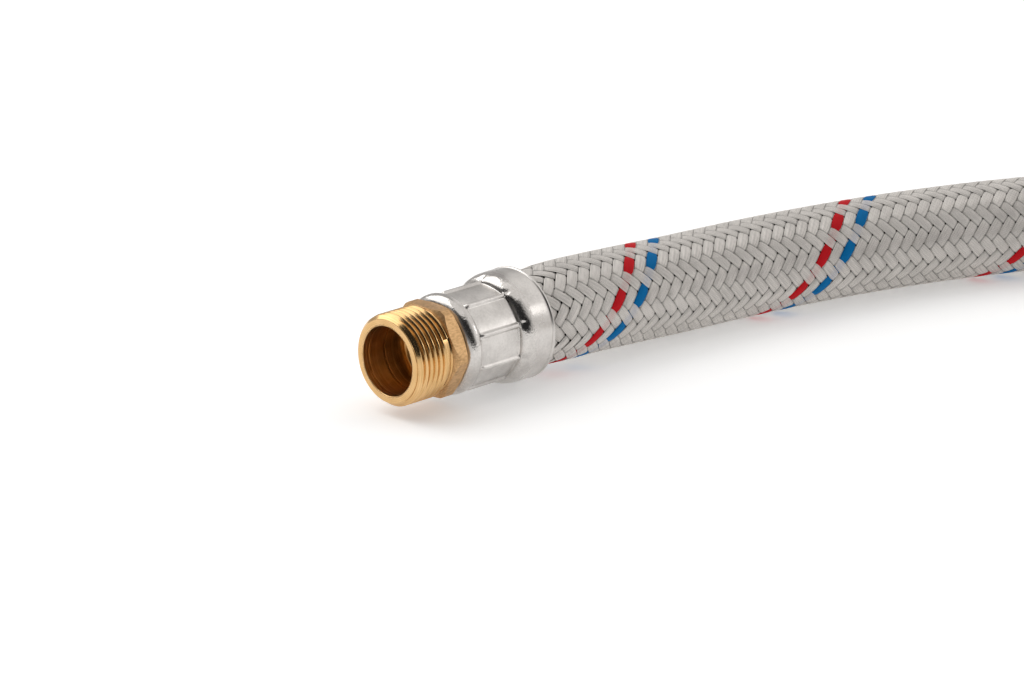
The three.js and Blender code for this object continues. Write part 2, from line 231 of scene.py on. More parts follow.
def wound_strands(name, numbers, turn):
    """Strands of one direction in one mesh; turn is 1 or -1, as their angle grows or falls along the hose."""
    steps = STRETCH * round(BRAID_LENGTH / CROSSING * STEPS_PER_CROSSING / STRETCH)
    blank = straight_bar(STRAND_SIDES, steps)
    bmesh.ops.holes_fill(blank, edges=blank.edges[:], sides=STRAND_SIDES)
    bmesh.ops.recalc_face_normals(blank, faces=blank.faces[:])
    blank_mesh = bpy.data.meshes.new("straight_strand")
    blank.to_mesh(blank_mesh)
    blank.free()
    bm = bmesh.new()
    for _ in numbers:
        bm.from_mesh(blank_mesh)
    count = len(blank_mesh.vertices)
    bpy.data.meshes.remove(blank_mesh)
    piece = mesh_object(name, bm)
    mesh = piece.data

    # The bar's round section is made flat, and its length becomes the strand's way along the hose.
    co = np.empty(len(mesh.vertices) * 3)
    mesh.vertices.foreach_get("co", co)
    across, proud, height = co.reshape(len(numbers), count, 3).transpose(2, 0, 1)
    across = np.sign(across) * np.abs(across) ** EDGE_FULLNESS
    proud = np.sign(proud) * np.abs(proud) ** FACE_FULLNESS
    station = height / steps * BRAID_LENGTH - BRAID_INSIDE_SLEEVE
    number = np.array(numbers)[:, None]
    angle = FIRST_STRAND_ANGLE + 2 * number * COLUMN_ANGLE + turn * WIND * station

    # It goes over two crossing strands and under the next two, and is pinched where it changes sides.
    column = (angle - FIRST_STRAND_ANGLE) / COLUMN_ANGLE
    swing = turn * np.cos((column - WAVE_START) * pi / 2)
    level = BRAID_MIDDLE + BRAID_WAVE * np.tanh(WAVE_STEEPNESS * swing) - squeeze(station)
    pinch = 1 - STRAND_PINCH * np.exp(-((swing / PINCH_REACH) ** 2))

    # Its width lies square to its own direction on the hose.
    slope = BRAID_MIDDLE * WIND
    side = across * pinch * STRAND_WIDTH / 2 / sqrt(1 + slope * slope)
    station = station - turn * side * slope
    angle = angle + side / BRAID_MIDDLE
    radius = level + proud * STRAND_THICKNESS / 2
    mesh.vertices.foreach_set("co", on_hose(station, angle, radius).ravel())

    # Its UV map runs across the strand in U, and along it by the strands that it crosses in V.
    corner = np.empty(len(mesh.loops), dtype=np.int32)
    mesh.loops.foreach_get("vertex_index", corner)
    crossed = (angle - FIRST_STRAND_ANGLE + turn * WIND * station) / (2 * COLUMN_ANGLE) + number
    uv = np.stack([(across.ravel() + 1) / 2, crossed.ravel()], axis=1)[corner]
    mesh.uv_layers.new(name="strand").data.foreach_set("uv", uv.ravel())

    # The strands that cross a tracer take a little of its colour beside it.
    tint = np.zeros((*column.shape, 4))
    for tracer, shade in ((RED_STRAND, RED_TINT), (BLUE_STRAND, BLUE_TINT)):
        tracer_angle = FIRST_STRAND_ANGLE + 2 * tracer * COLUMN_ANGLE - WIND * station
        off = (angle - tracer_angle + pi) % (2 * pi) - pi
        share = np.clip(TINT_FULL - np.abs(off) / TINT_REACH, 0, 1) * (turn == 1)
        tinted = np.dstack([*[np.full_like(share, tone) for tone in shade], share])
        tint = np.where(share[..., None] > 0, tinted, tint)
    mesh.attributes.new("tracer_tint", "FLOAT_COLOR", "POINT").data.foreach_set("color", tint.ravel())
    mesh.shade_smooth()
    mesh.update()
    mesh.set_sharp_from_angle(angle=EDGE_ANGLE)
    return piece


class Signal:
    """A value from a material's nodes that can be used in a sum."""

    def __init__(self, tree, socket=None):
        self.tree = tree
        self.socket = socket

    def node(self, kind, settings=(), sockets=(), output=0):
        """Adds a node, makes its settings, gives its sockets values or links, and returns one output."""
        added = self.tree.nodes.new(kind)
        for name, value in dict(settings).items():
            setattr(added, name, value)
        for name, value in dict(sockets).items():
            if isinstance(value, Signal):
                self.tree.links.new(value.socket, added.inputs[name])
            else:
                added.inputs[name].default_value = value
        return Signal(self.tree, added.outputs[output])

    def maths(self, operation, *values):
        return self.node("ShaderNodeMath", {"operation": operation}, dict(enumerate(values)))

    def spot(self):
        """The place on the piece, in the object's own coordinates."""
        return self.node("ShaderNodeTexCoord", (), (), "Object")

    def part(self, letter):
        """The X, Y or Z of this vector."""
        return self.node("ShaderNodeSeparateXYZ", (), {"Vector": self}, letter)

    def noise(self, scale, detail):
        """Cloudy noise over this place, about a half in the middle."""
        return self.node("ShaderNodeTexNoise", (), {"Vector": self, "Scale": scale, "Detail": detail})

    def bump(self, strength, distance):
        """The way the surface faces once this height is raised on it."""
        return self.node("ShaderNodeBump", (), {"Strength": strength, "Distance": distance, "Height": self})

    def mix(self, low, high):
        """A colour between low and high, by this value."""
        return self.node("ShaderNodeMix", {"data_type": "RGBA"}, {0: self, 6: low, 7: high}, 2)

    def between(self, low, high):
        """0 below low, 1 above high, and smooth between the two."""
        return self.node(
            "ShaderNodeMapRange",
            {"interpolation_type": "SMOOTHSTEP"},
            {"Value": self, "From Min": low, "From Max": high},
        )

    def __add__(self, other):
        return self.maths("ADD", self, other)

    def __sub__(self, other):
        return self.maths("SUBTRACT", self, other)

    def __rsub__(self, other):
        return self.maths("SUBTRACT", other, self)

    def __mul__(self, other):
        return self.maths("MULTIPLY", self, other)

    __radd__ = __add__
    __rmul__ = __mul__


def finish(name, **fixed):
    """A material whose shader sockets get these fixed values, with its nodes ready for sums."""
    material = bpy.data.materials.new(name)
    material.use_nodes = True
    shader = material.node_tree.nodes["Principled BSDF"]
    for socket, value in fixed.items():
        shader.inputs[socket.replace("_", " ")].default_value = value
    return material, shader, Signal(material.node_tree)


def drive(shader, nodes, **varying):
    """Links values that change over the surface to the shader's sockets."""
    for socket, signal in varying.items():
        nodes.tree.links.new(signal.socket, shader.inputs[socket.replace("_", " ")])


def wire_finish():
    """Fine stainless wires side by side, with painted shade in the grooves between the wires, along the
    strand's edges and where it dips under another, and a little of a tracer's colour beside it."""
    material, shader, nodes = finish("braid_wire", Metallic=0.45, Specular_IOR_Level=0.3)
    place = nodes.node("ShaderNodeUVMap", {"uv_map": "strand"})
    across = place.part("X")
    wire = nodes.maths("ABSOLUTE", nodes.maths("SINE", across * (pi * STRAND_WIRES)))
    # Painted shade along the strand's long edges, where it meets its neighbour.
    rim = nodes.maths("ABSOLUTE", across * 2 - 1).between(0.90, 1.0)
    level = nodes.maths("ABSOLUTE", nodes.maths("COSINE", (place.part("Y") - WAVE_START) * (pi / 2)))
    # Painted shade where the strand dips under a crossing strand.
    dip_shade = 1 - level.between(0.02, 0.20)
    drawn_out = nodes.node("ShaderNodeMapping", (), {"Vector": place, "Scale": (10.0, 0.4, 1.0)})
    streak = drawn_out.noise(1.0, 3.0)
    patch = nodes.spot().noise(160.0, 1.0)
    # The tone is darker in the grooves between the wires: painted shade, mixed with random streaks and
    # patches.
    tone = wire.between(0.0, 0.7) * 0.35 + streak * 0.45 + patch * 0.20
    bright = tone.between(0.30, 0.80).mix(WIRE_DARK, WIRE_BRIGHT)
    # Both masks of painted shade darken the wires' colour.
    with_painted_shade = nodes.maths("MAXIMUM", rim * 0.7, dip_shade * 0.6).mix(bright, WIRE_PAINTED_SHADE)
    tint = nodes.node("ShaderNodeAttribute", {"attribute_name": "tracer_tint"}, (), "Color")
    tint_share = nodes.node("ShaderNodeAttribute", {"attribute_name": "tracer_tint"}, (), "Alpha")
    colour = (tint_share * TINT_SHARE).mix(with_painted_shade, tint)
    drive(shader, nodes, Base_Color=colour, Roughness=0.46 + streak * 0.16, Normal=wire.bump(0.7, 0.00014))
    return material


def yarn_finish(name, light, dark):
    """Dyed polyester yarn, a little uneven: matt threads side by side, finer than the wires; painted shade
    between them.
    """
    material, shader, nodes = finish(name, Metallic=0.0, Specular_IOR_Level=0.08)
    place = nodes.node("ShaderNodeUVMap", {"uv_map": "strand"})
    thread = nodes.maths("ABSOLUTE", nodes.maths("SINE", place.part("X") * (pi * YARN_THREADS)))
    drawn_out = nodes.node("ShaderNodeMapping", (), {"Vector": place, "Scale": (14.0, 0.5, 1.0)})
    streak = drawn_out.noise(1.0, 3.0)
    # The colour is darker between the threads: painted shade, mixed with random streaks.
    colour = (streak * 0.6 + thread * 0.4).mix(dark, light)
    drive(shader, nodes, Base_Color=colour, Roughness=0.5 + streak * 0.2, Normal=thread.bump(0.5, 0.0001))
    return material


tracer_side = [number for number in range(STRANDS_EACH_WAY) if number not in (RED_STRAND, BLUE_STRAND)]
rising_braid = wound_strands("rising_braid_strands", tracer_side[:8], -1)
more_rising_braid = wound_strands("more_rising_braid_strands", tracer_side[8:], -1)
falling_braid = wound_strands("falling_braid_strands", list(range(9)), 1)
more_falling_braid = wound_strands("more_falling_braid_strands", list(range(9, STRANDS_EACH_WAY)), 1)
red_tracer = wound_strands("red_tracer_strand", [RED_STRAND], -1)
blue_tracer = wound_strands("blue_tracer_strand", [BLUE_STRAND], -1)

wire_material = wire_finish()
strand_looks = [
    (rising_braid, wire_material, "braid_wire"),
    (more_rising_braid, wire_material, "braid_wire"),
    (falling_braid, wire_material, "braid_wire"),
    (more_falling_braid, wire_material, "braid_wire"),
    (red_tracer, yarn_finish("red_tracer", *RED_YARN), "red_tracer"),
    (blue_tracer, yarn_finish("blue_tracer", *BLUE_YARN), "blue_tracer"),
]
for strands, material, slot_name in strand_looks:
    strands.data.materials.append(material)
    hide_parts("wire_braid")
    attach(strands, "hose")

# Rubber tube
# The watertight lining, extruded black rubber, which shows only as dark specks between the strands. It ends
# inside the crimped part of both sleeves.
TUBE_RADIUS = 0.01352
TUBE_WALL = 0.0037
TUBE_SIDES = 48
TUBE_STEPS = 9 * STRETCH
RUBBER_BLACK = (0.010, 0.010, 0.011, 1)
RUBBER_BLOOM = (0.034, 0.033, 0.034, 1)


def rubber_finish():
    """Matt black rubber with a faint powdery bloom."""
    material, shader, nodes = finish("hose_rubber", Metallic=0.0)
    bloom = nodes.spot().noise(420.0, 3.0)
    drive(shader, nodes, Base_Color=bloom.mix(RUBBER_BLACK, RUBBER_BLOOM), Roughness=0.6 + bloom * 0.25)
    return material


tube = mesh_object("rubber_lining", straight_bar(TUBE_SIDES, TUBE_STEPS))
tube_co = np.empty(len(tube.data.vertices) * 3)
tube.data.vertices.foreach_get("co", tube_co)
tube_x, tube_y, tube_z = tube_co.reshape(-1, 3).T
tube_station = tube_z / TUBE_STEPS * BRAID_LENGTH - BRAID_INSIDE_SLEEVE
tube_points = on_hose(tube_station, np.arctan2(tube_y, tube_x), TUBE_RADIUS - squeeze(tube_station))
tube.data.vertices.foreach_set("co", tube_points.ravel())
tube.data.shade_smooth()
tube.data.update()
tube_wall = tube.modifiers.new("wall", "SOLIDIFY")
tube_wall.thickness = TUBE_WALL
tube_wall.offset = -1.0
tube.data.materials.append(rubber_finish())
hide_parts("rubber_tube")
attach(tube, "hose")

# Male fitting
# One piece of brass bar: turned to a fine parallel pipe thread with a bevelled start, bored out to a
# shoulder, and left as a hexagon for the spanner. Its barbed stem is hidden inside the hose, and plain here.
THREAD_PITCH = 0.001814
THREAD_ROOT = 0.01206
THREAD_CREST = 0.01322
THREAD_LENGTH = 0.0133
THREAD_START = -0.0006
THREAD_START_ANGLE = radians(60.0)
THREAD_TURNS = 7
THREAD_STEPS = 96
HALF_PITCH = THREAD_PITCH / 2
RIDGE_FOOT = 0.0002
ROOT_COVER = 0.00002
FACE_EDGE = 0.01200
MALE_BORE = 0.0100
MALE_BORE_DEPTH = 0.0158
COLLAR_RADIUS = 0.0124
BAR_RADIUS = 0.0115
NECK_RADIUS = 0.01065
STEM_BORE = 0.0074
STEM_RADIUS = 0.00907
STEM_TIP_RADIUS = 0.00857
STEM_END = 0.0450
HEX_LENGTH = 0.0049
HEX_END = THREAD_LENGTH + HEX_LENGTH
HEX_FLATS = 0.0256
HEX_CORNERS = 0.0284
HEX_HOLE = 0.0112
HEX_CHAMFER = radians(30.0)
CHAMFER_INSIDE_FLATS = 0.0003
TURNING_STEPS = 144
ROUNDING_STEPS = 4
WELD = 1e-6
CREASE = radians(28.0)
MILLIMETRES = 1000.0
RINGS_EACH_MM = 4.0
BORE_RINGS_EACH_MM = 1.3
TURNED_DARK = (0.60, 0.36, 0.14, 1)
TURNED_BRIGHT = (0.80, 0.53, 0.26, 1)
SATIN_DARK = (0.44, 0.265, 0.12, 1)
SATIN_BRIGHT = (0.70, 0.44, 0.22, 1)
male_place = Matrix.Translation(male_face)


def turned(profile, steps=TURNING_STEPS, alike=1, closed=True):
    """A form turned about X from (station, radius, rounding) of each corner, whole or in alike parts."""
    bm = bmesh.new()
    points = [bm.verts.new((station, 0.0, radius)) for station, radius, _ in profile]
    for a, b in zip(points, points[1:]):
        bm.edges.new((a, b))
    if closed:
        bm.edges.new((points[-1], points[0]))
    for point, (_, _, rounding) in zip(points, profile):
        if rounding:
            how = {"affect": "VERTICES", "segments": ROUNDING_STEPS, "profile": 0.5, "material": -1}
            bmesh.ops.bevel(bm, geom=[point], offset=rounding, **how)
    way = {"cent": (0, 0, 0), "axis": (1, 0, 0), "dvec": (0, 0, 0)}
    part = 2 * pi / alike
    outline = bm.verts[:] + bm.edges[:]
    bmesh.ops.spin(bm, geom=outline, angle=part, steps=steps // alike, use_merge=alike == 1, **way)
    if alike > 1:
        first = bm.verts[:] + bm.edges[:] + bm.faces[:]
        bmesh.ops.spin(bm, geom=first, angle=2 * pi - part, steps=alike - 1, use_duplicate=True, **way)
    bmesh.ops.remove_doubles(bm, verts=bm.verts[:], dist=WELD)
    bmesh.ops.recalc_face_normals(bm, faces=bm.faces[:])
    return bm


def thread_ridge(section, first, turns, start_angle):
    """A closed right-handed ridge with this section, wound about X for some whole turns."""
    bm = bmesh.new()
    bm.faces.new([bm.verts.new((first + station, 0.0, radius)) for station, radius in section])
    bmesh.ops.rotate(bm, verts=bm.verts[:], cent=(0, 0, 0), matrix=Matrix.Rotation(start_angle, 3, "X"))
    section_edges = bm.verts[:] + bm.edges[:]
    bmesh.ops.delete(bm, geom=bm.faces[:], context="FACES_ONLY")
    way = {"cent": (0, 0, 0), "axis": (1, 0, 0)}
    ahead = (THREAD_PITCH / THREAD_STEPS, 0, 0)
    bmesh.ops.spin(bm, geom=section_edges, dvec=ahead, angle=2 * pi, steps=THREAD_STEPS, **way)
    one_turn = bm.verts[:] + bm.edges[:] + bm.faces[:]
    ahead = (THREAD_PITCH, 0, 0)
    bmesh.ops.spin(bm, geom=one_turn, dvec=ahead, angle=0.0, steps=turns - 1, use_duplicate=True, **way)
    bmesh.ops.remove_doubles(bm, verts=bm.verts[:], dist=WELD)
    bmesh.ops.holes_fill(bm, edges=bm.edges[:], sides=len(section))
    bmesh.ops.recalc_face_normals(bm, faces=bm.faces[:])
    return bm


def hexagon(flats, corners, length, hole):
    """A hexagon bar along X, flats up and down, with turned corners, chamfered ends and a hole."""
    bm = bmesh.new()
    across_corners = flats / 2 / cos(pi / 6)
    stand_up = Matrix.Rotation(pi / 2, 4, "Y")
    bmesh.ops.create_circle(bm, cap_ends=True, segments=6, radius=across_corners, matrix=stand_up)
    side = bmesh.ops.extrude_face_region(bm, geom=bm.faces[:])["geom"]
    moved = [part for part in side if isinstance(part, bmesh.types.BMVert)]
    bmesh.ops.translate(bm, verts=moved, vec=(length, 0, 0))
    bmesh.ops.recalc_face_normals(bm, faces=bm.faces[:])
    bar = mesh_object("hexagon_bar", bm)
    start = flats / 2 - CHAMFER_INSIDE_FLATS
    chamfer = (corners / 2 - start) * tan(HEX_CHAMFER)
    blank = mesh_object(
        "turned_blank",
        turned(
            [
                (0.0, hole, 0.0),
                (0.0, start, 0.0),
                (chamfer, corners / 2, 0.0),
                (length - chamfer, corners / 2, 0.0),
                (length, start, 0.0),
                (length, hole, 0.0),
            ]
        ),
    )
    cut = bar.modifiers.new("turn", "BOOLEAN")
    cut.operation = "INTERSECT"
    cut.solver = "EXACT"
    cut.object = blank
    mesh = bpy.data.meshes.new_from_object(bar.evaluated_get(bpy.context.evaluated_depsgraph_get()))
    bm = bmesh.new()
    bm.from_mesh(mesh)
    for left_over in (bar, blank):
        bpy.data.meshes.remove(left_over.data)
    bpy.data.meshes.remove(mesh)
    return bm


def joined(name, place, *parts):
    """One object from several bmeshes, the n-th with material n, moved to its place in the frame."""
    bm = bmesh.new()
    for number, part in enumerate(parts):
        for face in part.faces:
            face.material_index = number
        mesh = bpy.data.meshes.new(name)
        part.to_mesh(mesh)
        part.free()
        bm.from_mesh(mesh)
        bpy.data.meshes.remove(mesh)
    bmesh.ops.transform(bm, matrix=place, verts=bm.verts[:])
    piece = mesh_object(name, bm)
    piece.data.shade_smooth()
    piece.data.set_sharp_from_angle(angle=CREASE)
    return piece


def along_axis(nodes, place):
    """For a point of a turned piece: its station along the axis and its radius, both in millimetres."""
    moved = nodes.node(
        "ShaderNodeMapping",
        {"vector_type": "TEXTURE"},
        {
            "Vector": nodes.spot(),
            "Location": place.to_translation(),
            "Rotation": (0.0, 0.0, place.to_euler().z),
        },
    )
    y = moved.part("Y") * MILLIMETRES
    z = moved.part("Z") * MILLIMETRES
    return moved.part("X") * MILLIMETRES, nodes.maths("SQRT", y * y + z * z)


def turned_brass(name, place):
    """Bright turned brass with the fine rings that the tool leaves, coarser and deeper in the bore."""
    material, shader, nodes = finish(name, Metallic=1.0)
    station, radius = along_axis(nodes, place)
    bore = MALE_BORE * MILLIMETRES
    in_bore = 1 - radius.between(bore + 0.1, bore + 0.6)
    fineness = RINGS_EACH_MM - in_bore * (RINGS_EACH_MM - BORE_RINGS_EACH_MM)
    ring_place = {"X": station * fineness, "Y": radius * fineness, "Z": 0.0}
    rings = nodes.node("ShaderNodeCombineXYZ", (), ring_place).noise(1.0, 3.0)
    cloud = nodes.spot().noise(230.0, 3.0)
    tone = (rings * 0.7 + cloud * 0.3).between(0.3, 0.7)
    colour = (tone + in_bore * (tone - 0.5)).mix(TURNED_DARK, TURNED_BRIGHT)
    grooves = (rings * (0.2 + in_bore * 2.8)).bump(1.0, 0.00006)
    drive(shader, nodes, Base_Color=colour, Roughness=0.13 + rings * 0.12 + in_bore * 0.1, Normal=grooves)
    return material


def satin_brass(name, place):
    """The spanner flats, as the bar was drawn: satin, with fine scratches along the bar."""
    material, shader, nodes = finish(name, Metallic=1.0)
    along_bar = {
        "Vector": nodes.spot(),
        "Rotation": (0.0, 0.0, -place.to_euler().z),
        "Scale": (900.0, 2200.0, 2200.0),
    }
    scratches = nodes.node("ShaderNodeMapping", (), along_bar).noise(1.0, 4.0)
    cloud = nodes.spot().noise(300.0, 2.0)
    colour = (scratches * 0.65 + cloud * 0.35).between(0.3, 0.66).mix(SATIN_DARK, SATIN_BRIGHT)
    grooves = scratches.bump(0.6, 0.00006)
    drive(shader, nodes, Base_Color=colour, Roughness=0.36 + cloud * 0.12, Normal=grooves)
    return material


male_body = turned(
    [
        (0.0, MALE_BORE, 0.0002),
        (0.0, FACE_EDGE, 0.00008),
        (0.0001, THREAD_ROOT + ROOT_COVER, 0.0),
        (THREAD_LENGTH - 0.0004, THREAD_ROOT + ROOT_COVER, 0.0),
        (THREAD_LENGTH + 0.0001, COLLAR_RADIUS, 0.0),
        (THREAD_LENGTH + 0.001, COLLAR_RADIUS, 0.0),
        (THREAD_LENGTH + 0.001, BAR_RADIUS, 0.0),
        (HEX_END - 0.0002, BAR_RADIUS, 0.0),
        (HEX_END - 0.0002, NECK_RADIUS, 0.0),
        (HEX_END + 0.001, NECK_RADIUS, 0.0),
        (HEX_END + 0.001, STEM_RADIUS, 0.0),
        (STEM_END, STEM_TIP_RADIUS, 0.0003),
        (STEM_END, STEM_BORE, 0.0002),
        (MALE_BORE_DEPTH, STEM_BORE, 0.0004),
        (MALE_BORE_DEPTH, MALE_BORE, 0.0003),
    ]
)
RIDGE_SECTION = [
    (-HALF_PITCH, THREAD_ROOT - RIDGE_FOOT),
    (HALF_PITCH, THREAD_ROOT - RIDGE_FOOT),
    (HALF_PITCH, THREAD_ROOT),
    (0.00015, THREAD_CREST - 0.00012),
    (0.00009, THREAD_CREST - 0.00002),
    (-0.00009, THREAD_CREST - 0.00002),
    (-0.00015, THREAD_CREST - 0.00012),
    (-HALF_PITCH, THREAD_ROOT),
]
male_ridge = thread_ridge(RIDGE_SECTION, THREAD_START, THREAD_TURNS, THREAD_START_ANGLE)
for point in male_ridge.verts:
    station = min(max(point.co.x, 0.0001), THREAD_LENGTH - 0.00005)
    bevelled = min(1.0, (FACE_EDGE + station) / hypot(point.co.y, point.co.z))
    point.co = (station, point.co.y * bevelled, point.co.z * bevelled)
male_hexagon = hexagon(HEX_FLATS, HEX_CORNERS, HEX_LENGTH, HEX_HOLE)
bmesh.ops.translate(male_hexagon, verts=male_hexagon.verts[:], vec=(THREAD_LENGTH, 0, 0))
male_fitting = joined("male_thread_fitting", male_place, male_body, male_ridge, male_hexagon)
male_brass = turned_brass("male_turned_brass", male_place)
for material in (male_brass, male_brass, satin_brass("male_satin_brass", male_place)):
    male_fitting.data.materials.append(material)
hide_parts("male_fitting")
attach(male_fitting, "hose")

# Crimp sleeves
# A cup of thin stainless steel at each end, drawn and polished. Nine jaws have pressed it down on the hose:
# they leave nine flat panels with a narrow ridge between each two, and small pits where the ridges end.
PANELS = 9
FIRST_RIDGE = radians(159.5)
SLEEVE_STEPS = PANELS * 40
SLEEVE_WALL = 0.0007
SLEEVE_HOLE = 0.01095
FRONT_RADIUS = 0.0120
BEAD_CREST = 0.0031
BEAD_END = 0.0047
BEAD_RADIUS = 0.0146
BEAD_ROUND = 0.0024
PANEL_RADIUS = 0.0137
PANEL_STEPS = 24
PANEL_PRESS = 0.98
PANEL_FLATNESS = 0.45
PANEL_FULLNESS = 0.1
CRIMP_END = 0.0195
SHOULDER_END = 0.0243
SKIRT_RADIUS = 0.0162
LIP_RADIUS = 0.01632
LIP_ROUND = 0.0005
LIP_INSIDE = 0.00040
RIDGE_HEIGHT = 0.00066
RIDGE_HALF_WIDTH = 0.00082
RIDGE_TOP = 0.45 * RIDGE_HALF_WIDTH
RIM_HEIGHT = 0.00013
RIM_LENGTH = 0.00028
PIT_STATION = CRIMP_END + 0.0009
PIT_DEPTH = 0.00034
PIT_WIDTH = 0.0009
PIT_FRONT = 0.0006
PIT_BACK = 0.0011
STEEL_DARK = (0.54, 0.515, 0.49, 1)
STEEL_BRIGHT = (0.72, 0.69, 0.66, 1)
quarter_turn = Matrix.Rotation(pi / 2, 4, "Z")
male_sleeve_place = Matrix.Translation((sleeve_low.x, male_face.y, AXIS_HEIGHT))
nut_sleeve_place = Matrix.Translation((nut_mouth.x, nut_sleeve_low.y, AXIS_HEIGHT)) @ quarter_turn


def arc(station, radius, half_length, height, begin, end, count):
    """Points on an ellipse about a station and radius; 0 degrees points on towards the sleeve's mouth."""
    angles = [radians(begin + (end - begin) * i / count) for i in range(count + 1)]
    return [(station + half_length * cos(angle), radius + height * sin(angle), 0.0) for angle in angles]


def eased(value, low, high):
    """0 below low, 1 above high, and smooth between the two."""
    share = min(1.0, max(0.0, (value - low) / (high - low)))
    return share * share * (3 - 2 * share)


def crimped(station, angle, radius):
    """The radius of the sleeve's sheet at a place, once the jaws have pressed it."""
    panel = 2 * pi / PANELS
    off_ridge = (angle - FIRST_RIDGE + panel / 2) % panel - panel / 2
    off_middle = panel / 2 - abs(off_ridge)
    across = abs(off_ridge) * radius
    in_front = eased(station, BEAD_END + 0.0002, BEAD_END + 0.0007)
    in_crimp = in_front * (1 - eased(station, CRIMP_END - 0.0001, CRIMP_END + 0.0003))
    flat = PANEL_PRESS / cos(off_middle) ** PANEL_FLATNESS / cos(panel / 2) ** PANEL_FULLNESS
    ridge = RIDGE_HEIGHT * (1 - eased(across, RIDGE_TOP, RIDGE_HALF_WIDTH))
    pressed = radius * (1 + (flat - 1) * in_crimp) + ridge * in_crimp
    rim = RIM_HEIGHT * exp(-(((station - BEAD_END - 0.0001) / RIM_LENGTH) ** 2))
    behind = (station - PIT_STATION) / (PIT_FRONT if station < PIT_STATION else PIT_BACK)
    pit = PIT_DEPTH * exp(-behind * behind - (across / PIT_WIDTH) ** 2)
    return pressed + rim - pit


def crimp_sleeve(name, place):
    """A drawn cup, closed by its own wall: front, bead, pressed panels, shoulder, skirt and rolled lip."""
    front = [(0.0, SLEEVE_HOLE, 0.0), (0.0, FRONT_RADIUS, 0.0)]
    bead = arc(BEAD_CREST, BEAD_RADIUS - BEAD_ROUND, BEAD_CREST, BEAD_ROUND, 172, 90, 12)
    bead_back = arc(BEAD_CREST, PANEL_RADIUS - 0.0001, 0.0014, 0.0010, 75, 0, 7)
    panel_step = (CRIMP_END - BEAD_END) / PANEL_STEPS
    crimp = [(BEAD_END + panel_step * i, PANEL_RADIUS, 0.0) for i in range(PANEL_STEPS + 1)]
    step_up = SKIRT_RADIUS - PANEL_RADIUS
    shoulder = arc(SHOULDER_END, PANEL_RADIUS, SHOULDER_END - CRIMP_END, step_up, 178, 90, 22)
    skirt = [
        (SLEEVE_LENGTH - 0.0017, SKIRT_RADIUS - 0.00003, 0.0),
        (SLEEVE_LENGTH - 0.0014, SKIRT_RADIUS - 0.00008, 0.0),
        (SLEEVE_LENGTH - 0.0011, SKIRT_RADIUS - 0.00024, 0.0),
    ]
    roll = LIP_RADIUS - SKIRT_RADIUS + LIP_INSIDE
    lip = arc(SLEEVE_LENGTH - LIP_ROUND, SKIRT_RADIUS - LIP_INSIDE, LIP_ROUND, roll, 160, -30, 9)
    profile = front + bead + bead_back + crimp + shoulder + skirt + lip
    bm = turned(profile, SLEEVE_STEPS, PANELS, closed=False)
    for point in bm.verts:
        radius = hypot(point.co.y, point.co.z)
        pressed = crimped(point.co.x, atan2(point.co.z, point.co.y), radius) / radius
        point.co = (point.co.x, point.co.y * pressed, point.co.z * pressed)
    bmesh.ops.transform(bm, matrix=place, verts=bm.verts[:])
    bmesh.ops.recalc_face_normals(bm, faces=bm.faces[:])
    piece = mesh_object(name, bm)
    piece.data.shade_smooth()
    there = place.inverted()
    stretched = []
    for point in piece.data.vertices:
        station = (there @ point.co).x
        on_bead = eased(station, 0.0002, 0.0012) * (1 - eased(station, BEAD_CREST, BEAD_END))
        past_shoulder = eased(station, SHOULDER_END - 0.0020, SHOULDER_END)
        on_shoulder = eased(station, CRIMP_END, CRIMP_END + 0.0008) * (1 - past_shoulder)
        stretched.append(on_bead + on_shoulder)
    piece.data.attributes.new("stretched", "FLOAT", "POINT").data.foreach_set("value", stretched)
    wall = piece.modifiers.new("wall", "SOLIDIFY")
    wall.thickness = SLEEVE_WALL
    wall.offset = -1.0
    return piece


def polished_steel(name):
    """Polished stainless steel, with faint clouds; brighter but grainy where the sheet has been stretched."""
    material, shader, nodes = finish(name, Metallic=1.0)
    cloud = nodes.spot().noise(170.0, 3.0)
    grain = nodes.spot().noise(1700.0, 2.0)
    colour = (cloud * 0.7 + grain * 0.3).between(0.3, 0.7).mix(STEEL_DARK, STEEL_BRIGHT)
    stretched = nodes.node("ShaderNodeAttribute", {"attribute_name": "stretched"}, (), "Fac")
    skin = (cloud + grain * (stretched * 0.30 + 0.05)).bump(0.6, 0.00025)
    drive(shader, nodes, Base_Color=colour, Roughness=0.20 + cloud * 0.22 - stretched * 0.14, Normal=skin)
    return material


steel_material = polished_steel("bright_steel")
for sleeve_name, sleeve_place, node in (
    ("male_crimp_sleeve", male_sleeve_place, "male_end_sleeve"),
    ("nut_crimp_sleeve", nut_sleeve_place, "nut_end_sleeve"),
):
    sleeve = crimp_sleeve(sleeve_name, sleeve_place)
    sleeve.data.materials.append(steel_material)
    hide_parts(node)
    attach(sleeve, "hose")

# Nut end: stem and gasket
# A brass stem like the male fitting's, with a flange in front that the nut pulls on. The flat sealing
# washer of pressed fibre lies in front of the flange.
nut_low, nut_high = [Vector(corner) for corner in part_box("swivel_nut")]
nut_face = Vector((nut_mouth.x, nut_low.y, AXIS_HEIGHT))
nut_place = Matrix.Translation(nut_face) @ quarter_turn
NUT_LENGTH = nut_high.y - nut_low.y
gasket_low, gasket_high = [Vector(corner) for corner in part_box("nut_gasket")]
stem_low, stem_high = [Vector(corner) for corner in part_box("nut_end_stem")]
GASKET_FRONT = gasket_low.y - nut_low.y
GASKET_BACK = gasket_high.y - nut_low.y
FLANGE_FRONT = stem_low.y - nut_low.y
FLANGE_BACK = FLANGE_FRONT + 0.002
FLANGE_RADIUS = 0.01175
GASKET_BORE = 0.0082
NUT_NECK_END = NUT_LENGTH + 0.0013
NUT_STEM_END = stem_high.y - nut_low.y
FIBRE_DARK = (0.02, 0.07, 0.06, 1)
FIBRE_PALE = (0.07, 0.17, 0.13, 1)

